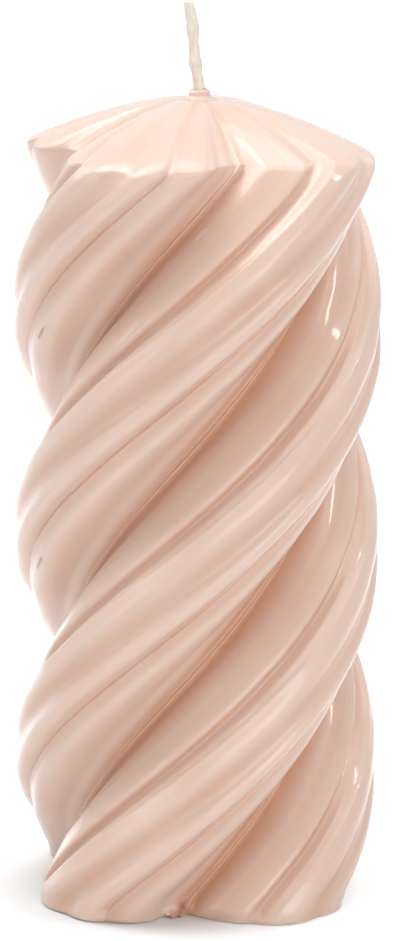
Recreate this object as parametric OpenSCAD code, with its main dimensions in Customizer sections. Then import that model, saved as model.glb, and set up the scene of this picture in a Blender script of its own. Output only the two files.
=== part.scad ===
// Twisted pillar candle: a moulded wax column whose lobes wind up in a right-hand helix to a low
// fluted cap, with a waxed cotton wick, the stamped tab that holds the wick's foot, and the bead
// of wax that seals the wick into the apex. Millimetres, +Z up, origin at the centre of the base.

/* [Body] */
// Diameter of the circle that the highest ridges touch
body_d = 70; // [60:1:90]
// Height of the rim where the twisted side meets the cap
rim_h = 144.4; // [90:0.2:240]
// Height of the low fluted cap above the rim
cap_h = 9.3; // [5:0.1:20]
// Fullness of the cap: 1 is a straight cone, more is a fuller dome
cap_fullness = 1.7; // [1:0.05:3]
// Rounding of the rim between the side and the cap
rim_round = 1.2; // [0.2:0.1:2]
// Rounding of the edge round the base
base_round = 1; // [0.2:0.1:2]

/* [Twist] */
// Lobes round the section
lobe_count = 4; // [3:1:5]
// Height that one full turn of the lobes takes
twist_pitch = 174.4; // [110:0.2:400]
// Direction in which the first lobe starts at the base, in degrees
start_angle = -73.5; // [-180:0.5:180]

/* [Section of one lobe] */
// Place of the lobe's broad back, in degrees from the lobe's start
back_angle = 23; // [22:0.1:28]
// Radius of the lobe's broad back
back_r = 13.2; // [10:0.1:14]
// Drop of the broad back below the main ridge
back_drop = 0.9; // [0.5:0.1:3]
// Place of the main ridge, in degrees from the lobe's start
main_angle = 13.6; // [10:0.1:16]
// Radius of the main ridge's round back
main_r = 7.1; // [5:0.1:10]
// Place of the second ridge, in degrees from the lobe's start
second_angle = 29.4; // [27:0.1:32]
// Radius of the second ridge's round back
second_r = 3.9; // [2.5:0.1:5]
// Drop of the second ridge below the main one
second_drop = 0; // [0:0.1:2]
// Place of the tail ridge, in degrees from the lobe's start
tail_angle = 40.7; // [37:0.1:43]
// Radius of the tail ridge's round back
tail_r = 5.6; // [4:0.1:7]
// Drop of the tail ridge below the main one
tail_drop = 3.1; // [1:0.1:6]
// Drop of the lead shoulder, from which the next lobe rises, below the main ridge
lead_drop = 3.9; // [2:0.1:7]
// Place of the valley's floor, in degrees from the lobe's start
valley_angle = 62; // [58:0.5:66]
// Depth of the valley below the main ridge
valley_depth = 11.3; // [8:0.1:13]
// Rise of the valley's flank for each degree away from its floor
valley_rise = 0.37; // [0.3:0.01:0.6]
// Rounding of the valley's floor, as the depth by which it lifts the flanks' meeting point
valley_round = 1.5; // [0.5:0.1:3]
// Softness of the grooves where two ridges run together
groove_soft = 0.25; // [0.1:0.05:1]

/* [Wick] */
// Diameter of the waxed braid
wick_d = 2.2; // [1.5:0.1:3]
// Height of the wick that stands free above the wax bead
wick_free = 15.6; // [6:0.2:30]
// Lean of the free wick, in degrees
wick_lean = 7.5; // [0:0.5:20]
// Gap between the wick and the hole that the casting pin leaves
wick_gap = 0.1; // [0.05:0.05:0.4]

/* [Wick tab] */
// Diameter of the tab's disc
tab_d = 20; // [14:1:30]
// Thickness of the tab's sheet
tab_t = 0.3; // [0.2:0.05:0.6]
// Height of the tab's neck above its disc
neck_h = 5; // [3:0.5:12]
// Gap between the wick and the tab's crimped neck
neck_gap = 0.05; // [0.02:0.01:0.1]
// Diameter of the stiffening ring pressed into the disc
ring_d = 13; // [9:0.5:13]
// Width of the stiffening ring
ring_w = 2.4; // [1:0.1:3]
// Depth to which the stiffening ring is pressed below the disc
ring_drop = 0.3; // [0.1:0.05:0.4]
// Height of the disc above the base, so that the candle stands on its wax
tab_lift = 0.5; // [0.4:0.1:2]
// Gap between the tab and its pocket in the wax
tab_gap = 0.2; // [0.1:0.05:0.5]

/* [Wax bead] */
// Height of the bead
bead_h = 2.6; // [2:0.1:4]
// Thickness of the bead's collar round the hole
bead_wall = 0.8; // [0.4:0.1:1.5]
// Width by which the bead's skirt spreads past its collar
bead_spread = 2; // [0.5:0.1:3]
// Height to which the skirt sweeps up to the collar
bead_sweep = 1.2; // [0.5:0.1:1.5]
// Thickness of the skirt at its edge
bead_edge = 0.1; // [0.05:0.05:0.3]
// Flat wax left round the bead at the apex
bead_margin = 0.2; // [0.1:0.1:2]

/* [Hidden] */

WAX = "#E3BEA9";
COTTON = "#EFE8D8";
TINPLATE = "#B9BBBD";

// Facets of the column: points round it, rows up its side and rows over its cap
around = 144;
side_rows = 30;
cap_rows = 5;

// Facets of the free wick: points round it and rows up it
wick_around = 12;
wick_rows = 10;

// Share of the free height by which the wick sways about its lean
wick_sway = 0.01;

// Overshoot of a cut past the face that it opens
cut = 1;

crest_r = body_d / 2;
apex_z = rim_h + cap_h;
bead_top = apex_z + bead_h;
wick_r = wick_d / 2;
bore_r = wick_r + wick_gap;
collar_r = bore_r + bead_wall;
bead_r = collar_r + bead_spread;
neck_in = wick_r + neck_gap;
neck_out = neck_in + tab_t;
tab_top = tab_lift + tab_t;
neck_top = tab_top + neck_h;

lobe_angle = 360 / lobe_count;
lead_r = crest_r - lead_drop;
valley_r = crest_r - valley_depth;

// Each rod is [angle in its lobe, reach from the axis, radius of its round back]
RODS = [
    [back_angle, crest_r - back_drop, back_r],
    [main_angle, crest_r, main_r],
    [second_angle, crest_r - second_drop, second_r],
    [tail_angle, crest_r - tail_drop, tail_r],
];

function sum(list) = list * [for (item = list) 1];

// The largest of a list, rounded where two of its values run together
function soft_max(list) =
    let (top = max(list))
    top + groove_soft * ln(sum([for (item = list) exp((item - top) / groove_soft)]));

// Distance from the axis to the far side of a rod, looking out at an angle off its middle
function rod_edge(rod, off) =
    let (middle = rod[1] - rod[2], side = middle * sin(off), inside = rod[2] ^ 2 - side ^ 2)
    inside > 0 && cos(off) > 0 ? middle * cos(off) + sqrt(inside) : 0;

// Distance from the axis to the ground between the ridges: the lead shoulder, cut by a round-floored
// valley whose flanks rise evenly with the angle off its middle
function ground_edge(angle) =
    let (
        off = (angle + 360 - valley_angle + lobe_angle / 2) % lobe_angle - lobe_angle / 2,
        flank = valley_r + sqrt(valley_round ^ 2 + (valley_rise * off) ^ 2) - valley_round
    )
    -soft_max([-flank, -lead_r]);

// Outline of the section: at each angle the outermost of the ground and all rods
function outline_r(angle) = soft_max(concat(
    [ground_edge(angle)],
    [for (lobe = [0 : lobe_count - 1], rod = RODS) rod_edge(rod, angle - rod[0] - lobe * lobe_angle)]
));

OUTLINE = [for (i = [0 : around - 1]) outline_r(i * 360 / around)];

// The cap ends in a flat spot that just holds the bead, even at the valleys
apex_scale = (bead_r + bead_margin) / min(OUTLINE);

// The rim's rounding turns from the upright side to the slope of the cap at its crest
rim_slope = atan(cap_h * cap_fullness / crest_r / (1 - apex_scale ^ cap_fullness));
rim_turn = 90 - rim_slope;
rim_start = rim_h - rim_round * tan(rim_turn / 2);

function twist_at(z) = start_angle + 360 * z / twist_pitch;
function cap_z(scale) =
    rim_h + cap_h * (1 - scale ^ cap_fullness) / (1 - apex_scale ^ cap_fullness);

// One closed ring of the column: the outline scaled, lifted and turned
function ring(scale, z, turn) = [
    for (i = [0 : around - 1])
        let (angle = i * 360 / around + turn)
        [scale * OUTLINE[i] * cos(angle), scale * OUTLINE[i] * sin(angle), z]
];

// Rings round the two rounded edges: inset and height follow an arc, at its full size on the crests
function inset(radius, angle) = 1 - radius * (1 - cos(angle)) / crest_r;
function base_ring(angle) =
    let (z = base_round * (1 - sin(angle)))
    ring(inset(base_round, angle), z, twist_at(z));
function rim_ring(angle) =
    ring(inset(rim_round, angle), rim_start + rim_round * sin(angle), twist_at(rim_h));

// Rings from the base edge, up the twisted side, over the rim and along the cap to the apex
function column() = concat(
    [for (angle = [90, 45]) base_ring(angle)],
    [
        for (row = [0 : side_rows])
            let (z = base_round + (rim_start - base_round) * row / side_rows)
            ring(1, z, twist_at(z))
    ],
    [rim_ring(rim_turn / 2)],
    [
        for (row = [0 : cap_rows])
            let (
                start = inset(rim_round, rim_turn),
                scale = start + (apex_scale - start) * row / cap_rows
            )
            ring(scale, cap_z(scale), twist_at(rim_h))
    ]
);

// A closed skin over a stack of rings that all have the same number of points
module skin(rings) {
    count = len(rings[0]);
    last = len(rings) - 1;
    polyhedron(
        points = [for (points = rings) each points],
        faces = concat(
            [[for (i = [0 : count - 1]) i]],
            [
                for (row = [0 : last - 1], i = [0 : count - 1])
                    let (j = (i + 1) % count, low = row * count, high = low + count)
                    each [[low + i, high + i, low + j], [low + j, high + i, high + j]]
            ],
            [[for (i = [count - 1 : -1 : 0]) last * count + i]]
        )
    );
}

// The moulded column, with the casting pin's hole and the tab's pocket in its base
module wax_body() {
    color(WAX)
    difference() {
        skin(column());
        translate([0, 0, -cut]) cylinder(r = bore_r, h = apex_z + 2 * cut, $fn = 48);
        translate([0, 0, -cut]) cylinder(r = neck_out + tab_gap, h = neck_top + tab_gap + cut, $fn = 48);
        translate([0, 0, -cut]) cylinder(r = tab_d / 2 + tab_gap, h = tab_top + cut, $fn = 96);
    }
}

// Sideways place of the free wick at a share of its height: a lean and one slow sway
function wick_x(share) = -wick_free * (tan(wick_lean) * share + wick_sway * sin(360 * share));

// The waxed braid, straight through the body and leaning where it stands free
module wick() {
    color(COTTON)
    union() {
        translate([0, 0, tab_lift]) cylinder(r = wick_r, h = bead_top - tab_lift, $fn = 48);
        skin([
            for (row = [0 : wick_rows])
                let (share = row / wick_rows)
                [
                    for (i = [0 : wick_around - 1])
                        let (angle = 360 * i / wick_around)
                        [
                            wick_x(share) + wick_r * cos(angle),
                            wick_r * sin(angle),
                            bead_top + wick_free * share
                        ]
                ]
        ]);
    }
}

// The stamped tab: a disc with a stiffening ring pressed down, and a neck crimped on to the wick
module wick_tab() {
    ring_in = (ring_d - ring_w) / 2;
    ring_out = (ring_d + ring_w) / 2;
    slope = ring_drop + tab_t / 2;
    bend = 2 * tab_t;
    color(TINPLATE)
    rotate_extrude($fn = 96)
    polygon(concat(
        [
            [neck_in, tab_lift],
            [ring_in - slope, tab_lift],
            [ring_in, tab_lift - ring_drop],
            [ring_out, tab_lift - ring_drop],
            [ring_out + slope, tab_lift],
            [tab_d / 2, tab_lift],
            [tab_d / 2, tab_top],
            [ring_out + slope / 2, tab_top],
            [ring_out - slope / 2, tab_top - ring_drop],
            [ring_in + slope / 2, tab_top - ring_drop],
            [ring_in - slope / 2, tab_top],
        ],
        [
            for (angle = [0 : 15 : 90])
                [neck_out + bend * (1 - sin(angle)), tab_top + bend * (1 - cos(angle))]
        ],
        [[neck_out, neck_top], [neck_in, neck_top]]
    ));
}

// The bead of wax that seals the wick's hole at the apex: a skirt that sweeps up from the cap along a
// hollow quarter ellipse, and a collar that rounds over to the wick along a full one
module wax_bead() {
    color(WAX)
    translate([0, 0, apex_z])
    rotate_extrude($fn = 64)
    polygon(concat(
        [[bore_r, 0], [bead_r, 0]],
        [
            for (angle = [0 : 15 : 90])
                [
                    bead_r - bead_spread * sin(angle),
                    bead_edge + (bead_sweep - bead_edge) * (1 - cos(angle))
                ]
        ],
        [
            for (angle = [15 : 15 : 90])
                [
                    bore_r + bead_wall * cos(angle),
                    bead_sweep + (bead_h - bead_sweep) * sin(angle)
                ]
        ]
    ));
}

wax_body();
wick();
wick_tab();
wax_bead();
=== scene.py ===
import bpy
import numpy as np
from mathutils import Matrix, Vector


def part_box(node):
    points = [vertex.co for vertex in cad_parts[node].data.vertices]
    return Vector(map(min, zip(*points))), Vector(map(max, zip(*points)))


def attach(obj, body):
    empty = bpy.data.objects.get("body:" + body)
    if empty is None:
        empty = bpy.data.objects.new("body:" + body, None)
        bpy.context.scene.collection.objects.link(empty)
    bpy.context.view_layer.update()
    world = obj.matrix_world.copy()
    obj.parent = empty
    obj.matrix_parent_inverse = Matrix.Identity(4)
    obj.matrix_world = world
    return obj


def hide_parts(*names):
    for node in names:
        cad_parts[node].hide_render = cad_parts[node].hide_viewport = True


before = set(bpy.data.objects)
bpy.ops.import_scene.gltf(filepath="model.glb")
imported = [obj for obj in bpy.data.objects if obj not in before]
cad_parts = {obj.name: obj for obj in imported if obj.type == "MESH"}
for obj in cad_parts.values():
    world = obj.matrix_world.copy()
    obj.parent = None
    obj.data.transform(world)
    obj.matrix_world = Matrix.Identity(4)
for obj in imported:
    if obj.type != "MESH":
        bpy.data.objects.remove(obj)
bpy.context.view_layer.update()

# Wax body
# One casting of tinted paraffin wax. It is poured upside down into a mould with four lobes that wind
# round it, then unscrewed, so its ridges are soft, its grooves are narrow and its skin has a gloss.
MM = 0.001
body_low, body_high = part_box("wax_body")
crest_r = (body_high.x - body_low.x) / 2
apex_z = body_high.z
cap_h = 9.3 * MM
rim_h = apex_z - cap_h
cap_fullness = 1.7
rim_round = 1.2 * MM
base_round = 1.0 * MM
lobe_count = 4
lobe_angle = 360 / lobe_count
twist_pitch = 174.4 * MM
twist_start = -73.5
foot_run = 5.0 * MM
groove_soft = 0.25 * MM
broad_soft = 1.6 * MM
# Each ridge is a rod in the mould: degrees from the lobe's start, reach from the axis, radius
RIDGES = {
    "back": (23.0, crest_r - 0.9 * MM, 13.2 * MM),
    "main": (13.6, crest_r, 7.1 * MM),
    "second": (29.4, crest_r, 3.9 * MM),
    "tail": (40.7, crest_r - 3.1 * MM, 5.6 * MM),
}
lead_r = crest_r - 3.9 * MM
valley_at = 62.0
valley_r = crest_r - 11.3 * MM
valley_rise = 0.37 * MM
valley_round = 1.5 * MM
# Where two ribs of the mould meet they leave a narrow crease with a lip beside it: degrees from the lobe's
# start, half width before it and after it, and depth, which is negative for what stands proud
CREASES = {
    "main crease": (1.2, 3.2, 1.5, 0.75 * MM),
    "main hairline": (2.9, 0.4, 0.4, -0.08 * MM),
    "main lip": (5.4, 0.6, 1.5, -0.3 * MM),
    "tail crease": (36.0, 1.3, 1.0, 0.65 * MM),
    "tail lip": (38.2, 0.8, 1.0, -0.1 * MM),
    "joint of the mould": (63.8, 0.5, 0.8, -0.32 * MM),
    "valley crease": (67.2, 1.6, 2.6, 1.1 * MM),
    "lead bench": (73.8, 3.0, 6.0, -0.8 * MM),
}


def off_middle(angle, at):
    """Angle from the nearest copy of a place that repeats in every lobe, in degrees."""
    return (angle - at + lobe_angle / 2) % lobe_angle - lobe_angle / 2


def soft_max(softness, *edges):
    """The largest of several radii, rounded where two run together: the softness times the logarithm of the
    sum of exp(radius / softness)."""
    return softness * np.logaddexp.reduce(np.stack(edges) / softness)


def rod_edge(angle, at, reach, radius):
    """Distance from the axis to the far side of a rod: m cos(a) + sqrt(radius^2 - (m sin(a))^2), where m is
    the distance to the rod's middle and a the angle off it, and 0 where the line of sight misses the rod."""
    off = np.radians(off_middle(angle, at))
    middle = reach - radius
    inside = radius ** 2 - (middle * np.sin(off)) ** 2
    return np.where(inside > 0, middle * np.cos(off) + np.sqrt(np.maximum(inside, 0)), 0)


def lobe_outline(angle, softness):
    """Radius of the section: the outermost of the ridges and the ground, which is the lead shoulder cut by a
    valley of radius floor + hypot(rounding, rise * angle) - rounding."""
    off = off_middle(angle, valley_at)
    flank = valley_r + np.hypot(valley_round, valley_rise * off) - valley_round
    ground = -soft_max(groove_soft, -flank, np.full_like(flank, -lead_r))
    return soft_max(softness, ground, *[rod_edge(angle, *ridge) for ridge in RIDGES.values()])


def add_creases(angle, radius):
    """The section less a bell for each crease, wider on one side than on the other."""
    for at, before, after, depth in CREASES.values():
        off = off_middle(angle, at)
        radius = radius - depth * np.exp(-(off / np.where(off < 0, before, after)) ** 2)
    return radius


def closer_near(places, per_lobe):
    """Angles round the section whose spacing shrinks near narrow features: equal steps of the running sum of
    a density that is 1 plus a bell of given height and width at each place."""
    samples_per_degree = 40
    fine = np.linspace(0, lobe_angle, round(samples_per_degree * lobe_angle) + 1)
    density = np.ones_like(fine)
    for at, height, width in places:
        density += height * np.exp(-(off_middle(fine, at) / width) ** 2)
    running = np.append(0, np.cumsum((density[1:] + density[:-1]) / 2))
    lobe = np.interp(np.arange(per_lobe) / per_lobe, running / running[-1], fine)
    return np.concatenate([lobe + lobe_angle * k for k in range(lobe_count)])


# Points stand closer at the creases: degrees from the lobe's start, how much closer, half width
CLOSER = [
    (63.8, 5.0, 1.5), (2.9, 4.0, 1.2), (5.4, 4.0, 1.5), (1.0, 1.5, 4.5), (36.5, 2.0, 3.0), (67.0, 1.5, 3.0),
]
points_per_lobe = 116
column_angles = closer_near(CLOSER, points_per_lobe)
outline = add_creases(column_angles, lobe_outline(column_angles, groove_soft))
# Towards the apex and at the foot only the broad form of the section is left
broad = lobe_outline(column_angles, broad_soft)
broad *= outline.max() / broad.max()

# Holes that the casting pin and the wick tab leave, with the same gaps as in the solid
tab_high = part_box("wick_tab")[1]
wick_d = 2.2 * MM
wick_gap = 0.1 * MM
tab_t = 0.3 * MM
tab_lift = 0.5 * MM
tab_gap = 0.2 * MM
neck_gap = 0.05 * MM
bore_r = wick_d / 2 + wick_gap
pocket_r = tab_high.x + tab_gap
pocket_top = tab_lift + tab_t
neck_hole_r = wick_d / 2 + neck_gap + tab_t + tab_gap
neck_hole_top = tab_high.z + tab_gap

# The cap starts just outside the bead and meets the side in a rounded rim
bead_low, bead_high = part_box("wax_bead")
bead_margin = 0.2 * MM
apex_scale = (bead_high.x + bead_margin) / outline.min()
cap_span = 1 - apex_scale ** cap_fullness
rim_turn = np.pi / 2 - np.arctan(cap_h * cap_fullness / crest_r / cap_span)
rim_start = rim_h - rim_round * np.tan(rim_turn / 2)


def twist_at(z):
    """Turn of the section at a height, in degrees: an even right-hand helix that runs out straight at the
    foot, where the height is replaced by (z^2 + run^2) / (2 run)."""
    climbed = np.where(z < foot_run, (z ** 2 + foot_run ** 2) / (2 * foot_run), z)
    return twist_start + 360 * climbed / twist_pitch


# Rings along each stretch of the body's path, ends included; those of the foot start at foot_top
RINGS = {"cap": 34, "rim": 9, "side": 138, "foot": 8, "edge": 6, "base": 5, "bore": 7}
foot_top = 4.0 * MM


def body_rows():
    """Rows of the body along a closed path: out along the cap, over the rim, down the side, in along the
    base and up through the pocket and the bore. Each row is [share of the outline, round radius, height,
    turn]. The cap falls by the share to the power cap_fullness, and the rim and the base's edge are arcs.
    The bore turns the short way round, so that its last ring lines up with the cap's first."""
    cap_share = np.linspace(apex_scale, 1 - rim_round * (1 - np.cos(rim_turn)) / crest_r, RINGS["cap"])
    cap_z = rim_h + cap_h * (1 - cap_share ** cap_fullness) / cap_span
    rim = np.linspace(rim_turn, 0, RINGS["rim"])[1:]
    rim_share = 1 - rim_round * (1 - np.cos(rim)) / crest_r
    rim_z = rim_start + rim_round * np.sin(rim)
    side_z = np.linspace(rim_start, foot_top, RINGS["side"])[1:]
    foot_z = np.linspace(foot_top, base_round, RINGS["foot"])[1:]
    edge = np.linspace(0, np.pi / 2, RINGS["edge"])[1:]
    edge_share = 1 - base_round * (1 - np.cos(edge)) / crest_r
    edge_z = base_round * (1 - np.sin(edge))
    inward = np.linspace(0, 1, RINGS["base"])[1:]
    upward = np.linspace(0, 1, RINGS["bore"])
    top_turn = twist_at(rim_h)
    base_turn = twist_at(0)
    bore_z = neck_hole_top + (apex_z - neck_hole_top) * upward
    bore_turn = base_turn + (top_turn - 360 - base_turn) * upward
    stretches = [
        (cap_share, 0, cap_z, top_turn),
        (rim_share, 0, rim_z, np.minimum(top_turn, twist_at(rim_z))),
        (1, 0, side_z, twist_at(side_z)),
        (1, 0, foot_z, twist_at(foot_z)),
        (edge_share, 0, edge_z, twist_at(edge_z)),
        (edge_share[-1] * (1 - inward), pocket_r * inward, 0, base_turn),
        (0, pocket_r, pocket_top * np.array([0.5, 1]), base_turn),
        (0, np.array([pocket_r / 2, neck_hole_r]), pocket_top, base_turn),
        (0, neck_hole_r, np.array([neck_hole_top]), base_turn),
        (0, bore_r, bore_z, bore_turn),
    ]
    return np.concatenate([np.stack(np.broadcast_arrays(*stretch), -1) for stretch in stretches])


def ring_grid(radius, angle, z):
    """Points at a radius, an angle in degrees and a height, as a grid of rows round the axis."""
    turn = np.radians(angle)
    return np.stack(np.broadcast_arrays(radius * np.cos(turn), radius * np.sin(turn), z), -1)


def add_grid(name, points, close_rows):
    """Mesh object over a grid of rings: quads between neighbouring points, joined round each ring, and from
    the last ring to the first where the rows close, with each loose end ring filled by one face."""
    rows, columns = points.shape[:2]
    index = np.arange(rows * columns).reshape(rows, columns)
    below = np.roll(index, -1, 0) if close_rows else index[1:]
    above = index if close_rows else index[:-1]
    quads = np.stack([above, below, np.roll(below, -1, 1), np.roll(above, -1, 1)], -1).reshape(-1, 4)
    faces = quads.tolist()
    if not close_rows:
        faces += [index[0].tolist(), index[-1, ::-1].tolist()]
    mesh = bpy.data.meshes.new(name)
    mesh.from_pydata(points.reshape(-1, 3), [], faces)
    mesh.shade_smooth()
    piece = bpy.data.objects.new(name, mesh)
    bpy.context.collection.objects.link(piece)
    return piece


share, round_r, row_z, row_turn = (column[:, None] for column in body_rows().T)
# The grooves fill up over the inner part of the cap and just above the base
cap_blend = 0.4
foot_full = 0.9 * MM
foot_open = 2.4 * MM
cap_fill = np.clip((1 - share) / cap_blend, 0, 1)
foot_fill = np.interp(row_z, [foot_full, foot_open], [1, 0])
fill = np.where(row_z > rim_h, cap_fill, foot_fill)

# The rim is eased all round, and more at the tips of the lobes
rim_ease = 0.5 * MM
tip_ease = 1.8 * MM
tip_depth = 7.0 * MM
tip_share = np.clip((outline - crest_r + tip_depth) / tip_depth, 0, 1)
down_path = np.append(0, np.cumsum(np.hypot(np.diff(share[:, 0] * crest_r), np.diff(row_z[:, 0]))))
row_length = np.gradient(down_path)
rim_path = down_path[np.argmax(row_z[:, 0] <= rim_h)]


def ease_rim(values, width):
    """Each row of values replaced near the rim by a mean of its neighbours down the path, weighted by a bell
    of the given width, and left as it is from about four widths off."""
    weights = np.exp(-0.5 * ((down_path[:, None] - down_path) / width) ** 2) * row_length
    near = np.exp(-((down_path[:, None] - rim_path) / (4 * width)) ** 4)
    return values + near * (weights @ values / weights.sum(1, keepdims=True) - values)


def ease_tips(values):
    """Values eased over rim_ease in the valleys, over tip_ease at the lobes' tips, and by a blend between:
    narrow + tip share * (wide - narrow)."""
    narrow = ease_rim(values, rim_ease)
    return narrow + tip_share * (ease_rim(values, tip_ease) - narrow)


body_radius = ease_tips(share * (outline + fill * (broad - outline)) + round_r)
body_z = ease_tips(np.repeat(row_z, len(column_angles), 1))
body_angle = ease_tips(row_turn + column_angles)
# The burr left at the foot of the front valley, where the pour was trimmed: direction in degrees, height,
# width round, height of the lump and how far it stands proud
BURRS = [
    (-99.0, 0.5 * MM, 0.9 * MM, 0.9 * MM, 3.0 * MM),
    (-96.0, 0.4 * MM, 0.7 * MM, 0.7 * MM, 2.4 * MM),
    (-94.0, 2.2 * MM, 0.8 * MM, 0.7 * MM, 1.8 * MM),
    (-101.5, 0.8 * MM, 0.6 * MM, 0.6 * MM, 1.3 * MM),
]
on_side = share > 0.9
for at, lump_z, width, height, proud in BURRS:
    around = np.radians((body_angle - at + 180) % 360 - 180) * crest_r
    body_radius += proud * np.exp(-(around / width) ** 2 - ((row_z - lump_z) / height) ** 2) * on_side
# Slow unevenness of the skin: waves round the body, length of a wave up it and phase
WAVES = [(3, 31 * MM, 0.4), (7, 17 * MM, 2.1), (-5, 23 * MM, 4.0), (11, 12 * MM, 5.3)]
wave_height = 0.03 * MM
for turns, wavelength, phase in WAVES:
    wave = np.sin(np.radians(turns * body_angle) + 2 * np.pi * row_z / wavelength + phase)
    body_radius += wave_height * wave * share
wax_piece = add_grid("moulded_wax_body", ring_grid(body_radius, body_angle, body_z), close_rows=True)
sharp_angle = np.radians(50)
wax_piece.data.set_sharp_from_angle(angle=sharp_angle)

# Painted shade in the grooves and the valley, darker where shade falls in them, a bell round each one:
# degrees from the lobe's start, width and strength.
# It fades towards the rim and the cap, and the flat base has none.
GROOVE_SHADE_BELLS = [
    (20.0, 5.5, 0.52), (39.0, 4.2, 0.5), (49.0, 2.5, 0.15), (61.4, 3.0, 1.0), (67.0, 4.2, 0.85),
    (76.5, 8.0, 0.38), (89.6, 3.6, 0.5),
]
shade_bells = [strength * np.exp(-(off_middle(column_angles, at) / width) ** 2) for at, width, strength in GROOVE_SHADE_BELLS]
cap_shade_share = 0.3
shade_start = 0.3 * MM
shade_fade_start = rim_h - 14 * MM
shade_fade_end = rim_h - 2 * MM
shade_share = np.interp(row_z, [0, shade_start, shade_fade_start, shade_fade_end], [0, 1, 1, cap_shade_share])
# The painted shade of the grooves and the valley, stored on the points for the wax material
groove_shade = wax_piece.data.attributes.new("groove_shade", "FLOAT", "POINT")
groove_shade.data.foreach_set("value", (np.max(shade_bells, 0) * shade_share).ravel())

# Unrolled coordinates in metres, round the lobes and up the twist, for what runs along the ridges
round_u = np.append(column_angles, 360) / 360 * 2 * np.pi * crest_r
up_v = np.append(row_z, row_z[0])
corner_u = np.stack([round_u[:-1], round_u[:-1], round_u[1:], round_u[1:]], -1)
corner_v = np.stack([up_v[:-1], up_v[1:], up_v[1:], up_v[:-1]], -1)
corners = np.stack(np.broadcast_arrays(corner_u[None], corner_v[:, None]), -1)
wax_piece.data.uv_layers.new(name="along_ridges").data.foreach_set("uv", corners.astype(np.float32).ravel())


def linear(hex_colour):
    """Linear colour with alpha from an sRGB hex value: each part v becomes v / 12.92 where it is dark, and
    ((v + 0.055) / 1.055)^2.4 elsewhere."""
    srgb = np.array([int(hex_colour[k:k + 2], 16) for k in (1, 3, 5)]) / 255
    low = srgb <= 0.04045
    return (*np.where(low, srgb / 12.92, ((srgb + 0.055) / 1.055) ** 2.4).tolist(), 1.0)


def add_node(tree, kind, settings=None, **inputs):
    """Add a node, set its attributes, and set or link its inputs by name, with _ for a space, or by number,
    as in0, in1 and so on."""
    node = tree.nodes.new(kind)
    for key, value in (settings or {}).items():
        setattr(node, key, value)
    for key, value in inputs.items():
        numbered = key.startswith("in") and key[2:].isdigit()
        socket = node.inputs[int(key[2:]) if numbered else key.replace("_", " ")]
        if isinstance(value, bpy.types.NodeSocket):
            tree.links.new(value, socket)
        else:
            socket.default_value = value
    return node


def new_material(name):
    """An empty node material and its tree."""
    material = bpy.data.materials.new(name)
    material.use_nodes = True
    material.node_tree.nodes.clear()
    return material, material.node_tree


# Tinted paraffin wax, cast: light sinks a little way into it and comes out warmer. Its colour goes from a
# pale pink on the crests to a deeper, darker pink in the grooves and the valley, which is painted shade, and
# a thin shiny skin lies over a softer sheen.
crest_pink = "#E8CBBC"
groove_shade_pink = "#D7A88E"
deep_shade_pink = "#CA9576"
cloud_size = 18 * MM
streak_width = 1.6 * MM
streak_stretch = 0.03
peel_size = 2.5 * MM
peel_depth = 0.12 * MM
chip_depth = 0.25 * MM
paraffin, tree = new_material("cast_tinted_paraffin")
wax_place = add_node(tree, "ShaderNodeTexCoord").outputs["Object"]
shade_attribute = add_node(tree, "ShaderNodeAttribute", {"attribute_name": "groove_shade"})
cloud = add_node(
    tree, "ShaderNodeTexNoise", Vector=wax_place, Scale=1 / cloud_size, Detail=3.0, Roughness=0.5,
)
uneven = add_node(
    tree, "ShaderNodeMapRange",
    Value=cloud.outputs["Fac"], From_Min=0.3, From_Max=0.7, To_Min=-0.08, To_Max=0.08,
)
ridge_uv = add_node(tree, "ShaderNodeUVMap", {"uv_map": "along_ridges"}).outputs["UV"]
stretched = add_node(tree, "ShaderNodeMapping", Vector=ridge_uv, Scale=(1.0, streak_stretch, 1.0))
flow = add_node(
    tree, "ShaderNodeTexNoise", Vector=stretched.outputs["Vector"], Scale=1 / streak_width, Detail=3.0,
)
streaks = add_node(
    tree, "ShaderNodeMapRange",
    Value=flow.outputs["Fac"], From_Min=0.3, From_Max=0.7, To_Min=-0.05, To_Max=0.05,
)
clouded = add_node(
    tree, "ShaderNodeMath", {"operation": "ADD"},
    in0=shade_attribute.outputs["Fac"], in1=uneven.outputs["Result"],
)
shade = add_node(
    tree, "ShaderNodeMath", {"operation": "ADD"},
    in0=clouded.outputs["Value"], in1=streaks.outputs["Result"],
).outputs["Value"]
# A chip in the front valley, painted paler, and two nicks on the left, painted darker as a painted shade in
# them, the chip raised and the nicks sunk by a bump:
# degrees round the section, height, half width, half height, painted tint and rise
BLEMISHES = [
    (71.3, 132.4 * MM, 0.75 * MM, 1.5 * MM, -0.6, 1.0),
    (45.1, 110.7 * MM, 0.5 * MM, 1.6 * MM, 0.9, -1.0),
    (134.9, 65.7 * MM, 0.5 * MM, 2.0 * MM, 0.9, -1.0),
]
relief = 0.0
for at, mark_z, half_width, half_height, painted_tint, rise in BLEMISHES:
    offset = add_node(
        tree, "ShaderNodeVectorMath", {"operation": "SUBTRACT"},
        in0=ridge_uv, in1=(np.radians(at) * crest_r, mark_z, 0.0),
    )
    scaled = add_node(
        tree, "ShaderNodeVectorMath", {"operation": "DIVIDE"},
        in0=offset.outputs["Vector"], in1=(half_width, half_height, 1.0),
    )
    far = add_node(tree, "ShaderNodeVectorMath", {"operation": "LENGTH"}, in0=scaled.outputs["Vector"])
    mark = add_node(tree, "ShaderNodeMapRange", Value=far.outputs["Value"], From_Min=1.0, From_Max=0.6)
    shade = add_node(
        tree, "ShaderNodeMath", {"operation": "MULTIPLY_ADD"},
        in0=mark.outputs["Result"], in1=painted_tint, in2=shade,
    ).outputs["Value"]
    relief = add_node(
        tree, "ShaderNodeMath", {"operation": "MULTIPLY_ADD"},
        in0=mark.outputs["Result"], in1=rise, in2=relief,
    ).outputs["Value"]
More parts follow.
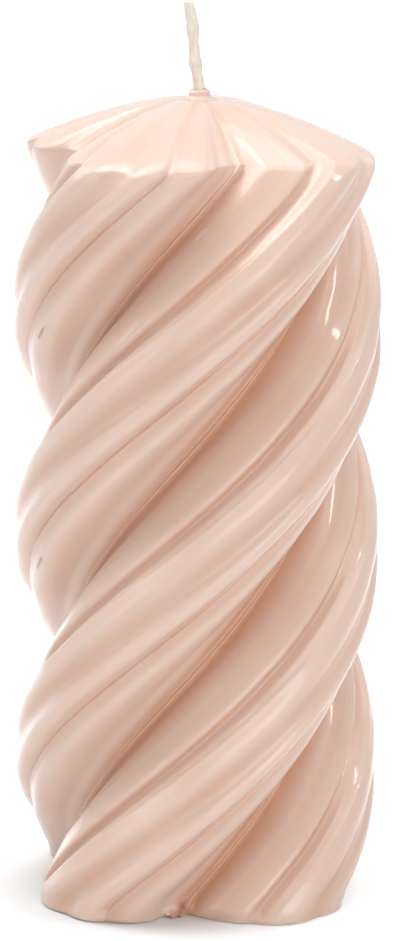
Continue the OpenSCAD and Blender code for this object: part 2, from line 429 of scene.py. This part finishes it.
# The colour ramp runs from the plain wax of the crests to the painted shade of the grooves and the valley
tint = add_node(tree, "ShaderNodeValToRGB", Fac=shade)
tint.color_ramp.elements[0].position = 0.0
tint.color_ramp.elements[0].color = linear(crest_pink)
tint.color_ramp.elements[1].position = 1.0
tint.color_ramp.elements[1].color = linear(deep_shade_pink)
tint.color_ramp.elements.new(0.7).color = linear(groove_shade_pink)
peel = add_node(tree, "ShaderNodeTexNoise", Vector=wax_place, Scale=1 / peel_size, Detail=2.0, Roughness=0.6)
sheen = add_node(tree, "ShaderNodeMapRange", Value=cloud.outputs["Fac"], To_Min=0.32, To_Max=0.4)
chipped = add_node(tree, "ShaderNodeBump", Height=relief, Strength=1.0, Distance=chip_depth)
skin = add_node(
    tree, "ShaderNodeBump",
    Height=peel.outputs["Fac"], Strength=0.2, Distance=peel_depth, Normal=chipped.outputs["Normal"],
)
wax = add_node(
    tree, "ShaderNodeBsdfPrincipled",
    Base_Color=tint.outputs["Color"],
    Roughness=sheen.outputs["Result"],
    IOR=1.44,
    Subsurface_Weight=0.25,
    Subsurface_Radius=(1.0, 0.45, 0.25),
    Subsurface_Scale=1.5 * MM,
    Coat_Weight=0.7,
    Coat_Roughness=0.09,
    Coat_IOR=1.44,
    Normal=skin.outputs["Normal"],
)
add_node(tree, "ShaderNodeOutputMaterial", Surface=wax.outputs["BSDF"])
wax_piece.data.materials.append(paraffin)
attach(wax_piece, "root")
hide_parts("wax_body")

# Wick tab
# A disc stamped from tin-plated steel sheet, with a ring pressed into it to stiffen it and a neck that
# is crimped on to the wick. It sits in its pocket in the base, so its solid is kept as it is.
spangle_size = 1.5 * MM
# Tinplate, stamped: a bright grey metal whose coat of tin is rubbed a little dull in patches.
tinplate, tree = new_material("stamped_tinplate")
tab_place = add_node(tree, "ShaderNodeTexCoord").outputs["Object"]
spangle = add_node(tree, "ShaderNodeTexNoise", Vector=tab_place, Scale=1 / spangle_size, Detail=3.0)
rub = add_node(tree, "ShaderNodeMapRange", Value=spangle.outputs["Fac"], To_Min=0.25, To_Max=0.45)
steel = add_node(
    tree, "ShaderNodeBsdfPrincipled",
    Base_Color=linear("#C3C5C7"),
    Metallic=1.0,
    Roughness=rub.outputs["Result"],
)
add_node(tree, "ShaderNodeOutputMaterial", Surface=steel.outputs["BSDF"])
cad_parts["wick_tab"].data.materials.clear()
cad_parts["wick_tab"].data.materials.append(tinplate)

# Wick
# A braid of cotton yarn soaked in clear wax, which stiffens it. It runs from the tab up through the body,
# leans to the left where it stands free, and is thicker where drips of wax have set on it.
wick_low, wick_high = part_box("wick")
free_start = bead_high.z
free_height = wick_high.z - free_start
wick_lean = np.radians(7.5)
wick_sway = 0.01
strand_count = 8
strand_rise = 3.2 * MM
strand_depth = 0.06 * MM
# Two drips and the waist between them: height above the bead, half length and swelling
DRIPS = [(4.4 * MM, 1.3 * MM, 0.2 * MM), (11.1 * MM, 1.4 * MM, 0.17 * MM), (7.7 * MM, 1.2 * MM, -0.08 * MM)]
tip_start = 13.5 * MM
tip_length = 3.0 * MM
tip_thinning = 0.18 * MM
hidden_rings = 60
free_rings = 110
wick_columns = 48
hidden_z = np.linspace(wick_low.z, free_start, hidden_rings)[:-1]
free_z = np.linspace(free_start, wick_high.z, free_rings)
wick_z = np.append(hidden_z, free_z)[:, None]
wick_angle = np.arange(wick_columns) * 360 / wick_columns


def wick_axis(z):
    """Sideways place of the wick: 0 in the body, then a lean with one slow sway, which is its free height
    times -(tan(lean) * t + sway * sin(2 pi t)), where t runs from 0 at the bead to 1 at the tip."""
    lifted = np.clip((z - free_start) / free_height, 0, 1)
    return -free_height * (np.tan(wick_lean) * lifted + wick_sway * np.sin(2 * np.pi * lifted))


def wick_radius(angle, z):
    """Radius of the braid: two sets of strands that cross, as the larger of the cosines of half the strands'
    count times the angle, plus and minus the climb, on a core that swells by a bell at each drip and thins
    at the tip, all of it kept within the hole where the wick runs in the body."""
    half_turns = strand_count / 2 * np.radians(angle)
    climb = 2 * np.pi * z / strand_rise
    strands = np.maximum(np.cos(half_turns + climb), np.cos(half_turns - climb))
    up = z - free_start
    swelling = sum(swell * np.exp(-((up - at) / half_length) ** 2) for at, half_length, swell in DRIPS)
    thinning = tip_thinning * np.clip((up - tip_start) / tip_length, 0, 1) ** 2
    return wick_d / 2 - strand_depth * (1 - strands) + (swelling - thinning) * (up > 0)


# The rows run upwards here, so the rings are wound the other way to face outwards
wick_points = ring_grid(wick_radius(wick_angle, wick_z), -wick_angle, wick_z)
wick_points[..., 0] += wick_axis(wick_z)
wick_piece = add_grid("braided_wick", wick_points, close_rows=False)
wick_piece.data.set_sharp_from_angle(angle=sharp_angle)

# Waxed cotton: cream yarn that shows through a thin clear coat of wax, with faint streaks along the strands.
yarn_width = 0.5 * MM
yarn_stretch = 0.25
cotton, tree = new_material("waxed_cotton_braid")
wick_place = add_node(tree, "ShaderNodeTexCoord").outputs["Object"]
along = add_node(tree, "ShaderNodeMapping", Vector=wick_place, Scale=(1.0, 1.0, yarn_stretch))
yarn = add_node(tree, "ShaderNodeTexNoise", Vector=along.outputs["Vector"], Scale=1 / yarn_width, Detail=3.0)
streak = add_node(tree, "ShaderNodeValToRGB", Fac=yarn.outputs["Fac"])
streak.color_ramp.elements[0].position = 0.3
streak.color_ramp.elements[0].color = linear("#E9E0CE")
streak.color_ramp.elements[1].position = 0.7
streak.color_ramp.elements[1].color = linear("#F7F2E7")
fuzz = add_node(tree, "ShaderNodeBump", Height=yarn.outputs["Fac"], Strength=0.3, Distance=0.1 * MM)
braid = add_node(
    tree, "ShaderNodeBsdfPrincipled",
    Base_Color=streak.outputs["Color"],
    Roughness=0.45,
    IOR=1.44,
    Subsurface_Weight=0.3,
    Subsurface_Radius=(1.0, 0.8, 0.6),
    Subsurface_Scale=0.6 * MM,
    Normal=fuzz.outputs["Normal"],
)
add_node(tree, "ShaderNodeOutputMaterial", Surface=braid.outputs["BSDF"])
wick_piece.data.materials.append(cotton)
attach(wick_piece, "root")
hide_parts("wick")

# Wax bead
# A drop of the same wax, run round the wick by hand to seal the hole in the apex. It sets in an uneven
# ring that rounds over to the wick and spreads a little on the cap.
bead_columns = 96
bead_arc_rings = 10
skirt_out = 0.96 * bead_high.x
bead_sweep = 0.9 * MM
bead_edge = 0.02 * MM
collar_wall = 0.8 * MM
collar_r = bore_r + collar_wall
collar_h = 1.9 * MM
collar_tilt = 0.15 * MM
bead_angle = np.arange(bead_columns) * 360 / bead_columns
bead_turn = np.radians(bead_angle)
# Unevenness round the ring: waves in a turn, share of the radius and phase
LUMPS = [(2, 0.05, 0.6), (3, 0.04, 2.0), (7, 0.02, 0.0)]
bead_uneven = 1 + sum(size * np.sin(waves * bead_turn + phase) for waves, size, phase in LUMPS)
# The skirt is a hollow quarter of an ellipse from its thin edge in to the collar, and the collar another
# quarter, rounded, from there over to the wick
hollow = np.linspace(0, np.pi / 2, bead_arc_rings)[:, None]
round_over = hollow[1:]
skirt_r = skirt_out - (skirt_out - collar_r * bead_uneven) * np.sin(hollow)
skirt_z = bead_low.z + bead_edge + (bead_sweep - bead_edge) * (1 - np.cos(hollow)) * bead_uneven
collar_round = bore_r + (collar_r * bead_uneven - bore_r) * np.cos(round_over)
collar_top = bead_low.z + collar_h + collar_tilt * np.sin(bead_turn + 0.5)
collar_z = skirt_z[-1] + (collar_top - skirt_z[-1]) * np.sin(round_over)
bead_rings = np.concatenate([
    ring_grid(collar_round, bead_angle, collar_z)[::-1],
    ring_grid(skirt_r, bead_angle, skirt_z)[::-1],
    ring_grid(np.array([[skirt_out], [bore_r]]), bead_angle, bead_low.z),
])
bead_piece = add_grid("sealing_wax_bead", bead_rings, close_rows=True)
bead_piece.data.set_sharp_from_angle(angle=sharp_angle)
bead_piece.data.materials.append(paraffin)
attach(bead_piece, "root")
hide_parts("wax_bead")

# Studio
# A sheet of white paper under soft lamps, with the camera a little above the candle's middle. The paper
# lies a hair below the base, so that the two faces never share a plane.
floor_half = 3.0
floor_z = -0.02 * MM
floor_mesh = bpy.data.meshes.new("studio_floor")
floor_mesh.from_pydata(
    [(x * floor_half, y * floor_half, floor_z) for x, y in ((-1, -1), (1, -1), (1, 1), (-1, 1))],
    [], [(0, 1, 2, 3)],
)
floor = bpy.data.objects.new("studio_floor", floor_mesh)
bpy.context.collection.objects.link(floor)


def shown_to_camera(tree):
    """1 for a ray from the camera, straight or by way of a gloss or a clear piece, and 0 for the rest: the
    largest of three Light Path outputs."""
    rays = add_node(tree, "ShaderNodeLightPath")
    glossy = add_node(
        tree, "ShaderNodeMath", {"operation": "MAXIMUM"},
        in0=rays.outputs["Is Camera Ray"], in1=rays.outputs["Is Glossy Ray"],
    )
    clear = add_node(
        tree, "ShaderNodeMath", {"operation": "MAXIMUM"},
        in0=glossy.outputs["Value"], in1=rays.outputs["Is Transmission Ray"],
    )
    return clear.outputs["Value"]


# White paper: matt, with the candle's own shadow, and its glow for the camera held back round a point in
# front of and to the left of the foot, a painted shade there. Further off it fades to plain white.
white = linear("#FFFFFF")
painted_shade_middle = (-10 * MM, -12 * MM, 0.0)
fade_start = 17 * MM
fade_end = 67 * MM
sweep, tree = new_material("white_paper_sweep")
paper = add_node(tree, "ShaderNodeBsdfDiffuse", Color=linear("#ECF0F2"))
floor_place = add_node(tree, "ShaderNodeTexCoord").outputs["Object"]
away = add_node(tree, "ShaderNodeVectorMath", {"operation": "DISTANCE"}, in0=floor_place, in1=painted_shade_middle)
fade = add_node(
    tree, "ShaderNodeMapRange", Value=away.outputs["Value"], From_Min=fade_start, From_Max=fade_end,
)
whitened = add_node(
    tree, "ShaderNodeMath", {"operation": "MULTIPLY"}, in0=shown_to_camera(tree), in1=fade.outputs["Result"],
)
glow = add_node(tree, "ShaderNodeEmission", Color=white, Strength=whitened.outputs["Value"])
both = add_node(tree, "ShaderNodeAddShader", in0=paper.outputs["BSDF"], in1=glow.outputs["Emission"])
add_node(tree, "ShaderNodeOutputMaterial", Surface=both.outputs["Shader"])
floor_mesh.materials.append(sweep)

world = bpy.data.worlds.new("white_studio")
bpy.context.scene.world = world
world.use_nodes = True
tree = world.node_tree
tree.nodes.clear()
backdrop = add_node(tree, "ShaderNodeBackground", Color=white, Strength=shown_to_camera(tree))
add_node(tree, "ShaderNodeOutputWorld", Surface=backdrop.outputs["Background"])

# Each lamp is [degrees round from the camera, degrees up, width, height, watts]
LAMPS = {
    "top_softbox": (0, 88, 1.0, 1.0, 7.2),
    "high_left_softbox": (-90, 62, 0.5, 0.5, 3.2),
    "low_right_softbox": (30, 8, 0.5, 0.5, 2.5),
    "low_front_softbox": (0, 8, 0.5, 0.5, 1.5),
    "back_left_softbox": (-120, 35, 0.5, 0.5, 1.5),
    "low_left_softbox": (-60, 8, 0.5, 0.5, 1.3),
    "right_strip": (70, 43, 0.08, 0.3, 1.5),
    "back_right_softbox": (120, 35, 0.5, 0.5, 0.9),
}
lamp_distance = 1.0
candle_middle = Vector((0, 0, apex_z / 2))


def toward(azimuth, elevation):
    """Direction from the candle, with azimuth measured from the camera's side towards the right."""
    azimuth, elevation = np.radians((azimuth, elevation))
    flat = np.cos(elevation)
    return Vector((flat * np.sin(azimuth), -flat * np.cos(azimuth), np.sin(elevation)))


for name, (azimuth, elevation, width, height, watts) in LAMPS.items():
    light = bpy.data.lights.new(name, "AREA")
    light.shape = "RECTANGLE"
    light.size = width
    light.size_y = height
    light.energy = watts
    lamp = bpy.data.objects.new(name, light)
    lamp.location = candle_middle + lamp_distance * toward(azimuth, elevation)
    lamp.rotation_euler = toward(azimuth, elevation).to_track_quat("Z", "Y").to_euler()
    bpy.context.collection.objects.link(lamp)

camera_distance = 0.8022
camera_up = 13.52
camera_roll = np.radians(0.3)
aim = Vector((0.55 * MM, 0, 81.84 * MM))
camera_data = bpy.data.cameras.new("camera")
camera_data.sensor_width = 36
camera_data.lens = 159.2
camera = bpy.data.objects.new("camera", camera_data)
camera.location = Vector((0, 0, rim_h / 2)) + camera_distance * toward(0, camera_up)
look = (camera.location - aim).to_track_quat("Z", "Y").to_matrix()
camera.rotation_euler = (look @ Matrix.Rotation(camera_roll, 3, "Z")).to_euler()
bpy.context.collection.objects.link(camera)
bpy.context.scene.camera = camera
bpy.context.scene.view_settings.view_transform = "Standard"
